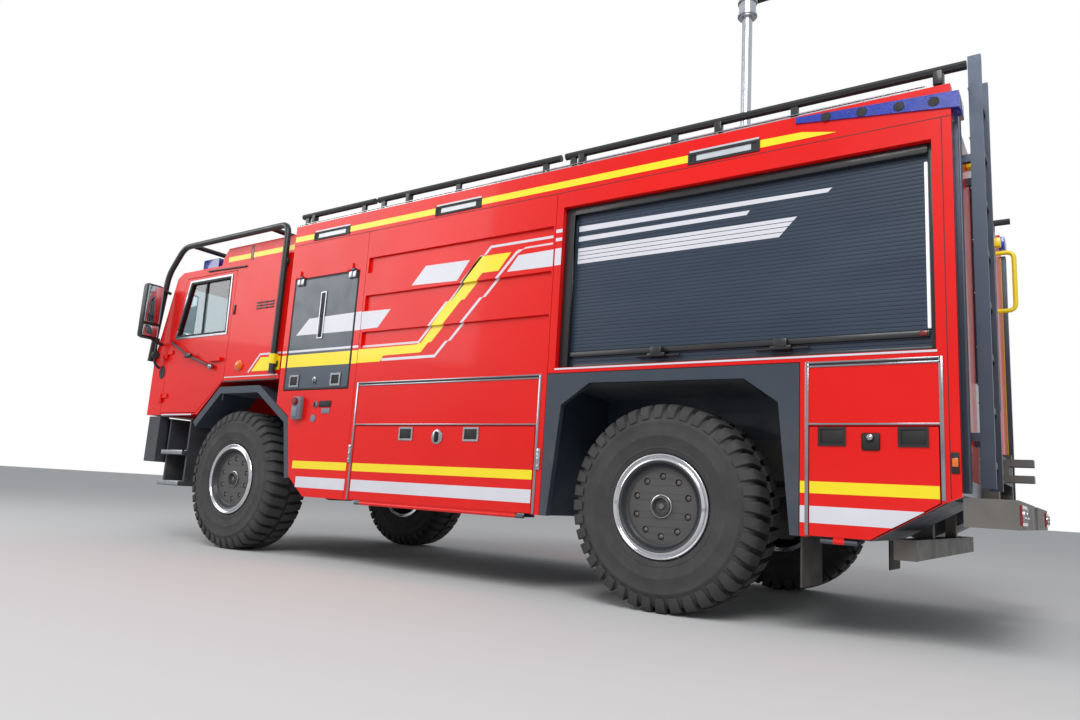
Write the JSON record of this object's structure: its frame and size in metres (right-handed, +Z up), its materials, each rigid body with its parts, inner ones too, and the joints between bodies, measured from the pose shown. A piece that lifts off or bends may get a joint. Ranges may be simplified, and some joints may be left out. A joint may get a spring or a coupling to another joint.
{
  "type": "fire truck",
  "caption": "High four-wheel-drive fire truck with a short cab, tube cage, lockers with hatches and flaps, roller shutters and a raised lighting mast.",
  "frame": {"origin": "on the ground under the middle of the length and width", "axes": "+X the vehicle's left, +Y its rear, +Z up"},
  "size_m": [3, 7.3, 4.8449],
  "materials": {
    "black_steel": "satin black chassis paint",
    "tyre_rubber": "dusty tread rubber",
    "wheel_steel": "dark grey disc with a bright lip",
    "red_paint": "gloss signal red",
    "grey_paint": "satin blue grey",
    "dark_plastic": "grained dark plastic",
    "black_tube": "satin black powder coat",
    "clear_glass": "tinted safety glass",
    "white_lens": "clear lamp lens",
    "blue_lens": "blue lamp lens",
    "red_lens": "red lamp lens",
    "bare_aluminium": "mill finish aluminium",
    "mast_metal": "anodised aluminium",
    "lamp_housing": "black lamp housing",
    "seat_cloth": "dark woven seat cloth",
    "flap_rubber": "black rubber sheet"
  },
  "bodies": {
    "truck": {"chassis_frame": "black_steel", "engine": "black_steel", "front_axle": "black_steel", "rear_axle": "black_steel", "springs": "black_steel", "rear_guards": "black_steel", "cab_shell": "red_paint", "roof_box": "red_paint", "front_panels": "red_paint", "tank_panels": "red_paint", "rear_panels": "red_paint", "cornice": "red_paint", "shutters": "grey_paint", "front_bumper": "dark_plastic", "grille": "dark_plastic", "wheel_arches": "dark_plastic", "dashboard": "dark_plastic", "cab_steps": "dark_plastic", "tube_cage": "black_tube", "roof_rails": "black_tube", "mirrors": "black_tube", "windscreen": "clear_glass", "white_lamps": "white_lens", "blue_lamps": "blue_lens", "tail_lamps": "red_lens", "subframe": "bare_aluminium", "front_lockers": "bare_aluminium", "water_tank": "bare_aluminium", "rear_block": "bare_aluminium", "skirts": "bare_aluminium", "roof_deck": "bare_aluminium", "ladder": "bare_aluminium", "rear_wall": "bare_aluminium", "mast_base": "mast_metal", "seats": "seat_cloth", "mudflaps": "flap_rubber"},
    "steering_left": {"knuckle_left": "black_steel"},
    "steering_right": {"knuckle_right": "black_steel"},
    "wheel_front_left": {"tyre_front_left": "tyre_rubber", "rim_front_left": "wheel_steel"},
    "wheel_front_right": {"tyre_front_right": "tyre_rubber", "rim_front_right": "wheel_steel"},
    "wheel_rear_left": {"tyre_rear_left": "tyre_rubber", "rim_rear_left": "wheel_steel"},
    "wheel_rear_right": {"tyre_rear_right": "tyre_rubber", "rim_rear_right": "wheel_steel"},
    "cab_door_left": {"cab_door_left": "red_paint", "door_glass_left": "clear_glass"},
    "cab_door_right": {"cab_door_right": "red_paint", "door_glass_right": "clear_glass"},
    "hatch_left": {"hatch_left": "grey_paint"},
    "hatch_right": {"hatch_right": "grey_paint"},
    "locker_flap_left": {"locker_flap_left": "red_paint"},
    "locker_flap_right": {"locker_flap_right": "red_paint"},
    "rear_flap_left": {"rear_flap_left": "red_paint"},
    "rear_flap_right": {"rear_flap_right": "red_paint"},
    "roof_locker_lid": {"roof_locker_lid": "bare_aluminium"},
    "mast_tube": {"mast_tube": "mast_metal"},
    "mast_head": {"mast_head": "mast_metal"},
    "floodlights": {"floodlights": "lamp_housing"}
  },
  "joints": [
    {"name": "steer_left", "type": "hinge", "parent": "truck", "child": "steering_left", "pos_m": [0.86, -2.14, 0.585], "axis": [0, 0, 1], "range_deg": [-32, 32]},
    {"name": "steer_right", "type": "hinge", "parent": "truck", "child": "steering_right", "pos_m": [-0.86, -2.14, 0.585], "axis": [0, 0, 1], "range_deg": [-32, 32]},
    {"name": "roll_front_left", "type": "hinge", "parent": "steering_left", "child": "wheel_front_left", "pos_m": [1.052, -2.14, 0.585], "axis": [1, 0, 0], "continuous": true},
    {"name": "roll_front_right", "type": "hinge", "parent": "steering_right", "child": "wheel_front_right", "pos_m": [-1.052, -2.14, 0.585], "axis": [1, 0, 0], "continuous": true},
    {"name": "roll_rear_left", "type": "hinge", "parent": "truck", "child": "wheel_rear_left", "pos_m": [1.052, 1.9, 0.585], "axis": [1, 0, 0], "continuous": true},
    {"name": "roll_rear_right", "type": "hinge", "parent": "truck", "child": "wheel_rear_right", "pos_m": [-1.052, 1.9, 0.585], "axis": [1, 0, 0], "continuous": true},
    {"name": "cab_door_left", "type": "hinge", "parent": "truck", "child": "cab_door_left", "pos_m": [1.254, -3.367, 1.5], "axis": [0, 0, -1], "range_deg": [0, 75]},
    {"name": "hatch_left", "type": "hinge", "parent": "truck", "child": "hatch_left", "pos_m": [1.289, -1.1105, 2.262], "axis": [0, -1, 0], "range_deg": [0, 100]},
    {"name": "locker_flap_left", "type": "hinge", "parent": "truck", "child": "locker_flap_left", "pos_m": [1.263, 0.227, 0.468], "axis": [0, 1, 0], "range_deg": [0, 90]},
    {"name": "rear_flap_left", "type": "hinge", "parent": "truck", "child": "rear_flap_left", "pos_m": [1.263, 3.0395, 0.468], "axis": [0, 1, 0], "range_deg": [0, 90]},
    {"name": "cab_door_right", "type": "hinge", "parent": "truck", "child": "cab_door_right", "pos_m": [-1.254, -3.367, 1.5], "axis": [0, 0, 1], "range_deg": [0, 75]},
    {"name": "hatch_right", "type": "hinge", "parent": "truck", "child": "hatch_right", "pos_m": [-1.289, -1.1105, 2.262], "axis": [0, 1, 0], "range_deg": [0, 100]},
    {"name": "locker_flap_right", "type": "hinge", "parent": "truck", "child": "locker_flap_right", "pos_m": [-1.263, 0.227, 0.468], "axis": [0, -1, 0], "range_deg": [0, 90]},
    {"name": "rear_flap_right", "type": "hinge", "parent": "truck", "child": "rear_flap_right", "pos_m": [-1.263, 3.0395, 0.468], "axis": [0, -1, 0], "range_deg": [0, 90]},
    {"name": "roof_locker_lid", "type": "hinge", "parent": "truck", "child": "roof_locker_lid", "pos_m": [0.406, 1.8, 2.8443], "axis": [0, -1, 0], "range_deg": [0, 85]},
    {"name": "mast_lift", "type": "slide", "parent": "truck", "child": "mast_tube", "axis": [0, 0, 1], "range_m": [-1.3, 0]},
    {"name": "mast_pan", "type": "hinge", "parent": "mast_tube", "child": "mast_head", "pos_m": [0, 1.9, 4.3], "axis": [0, 0, 1], "range_deg": [-175, 175]},
    {"name": "lamp_tilt", "type": "hinge", "parent": "mast_head", "child": "floodlights", "pos_m": [0, 1.9, 4.665], "axis": [1, 0, 0], "range_deg": [-80, 80]}
  ],
  "couplings": [
    {"joint": "steer_right", "follows": "steer_left", "ratio": 1}
  ]
}
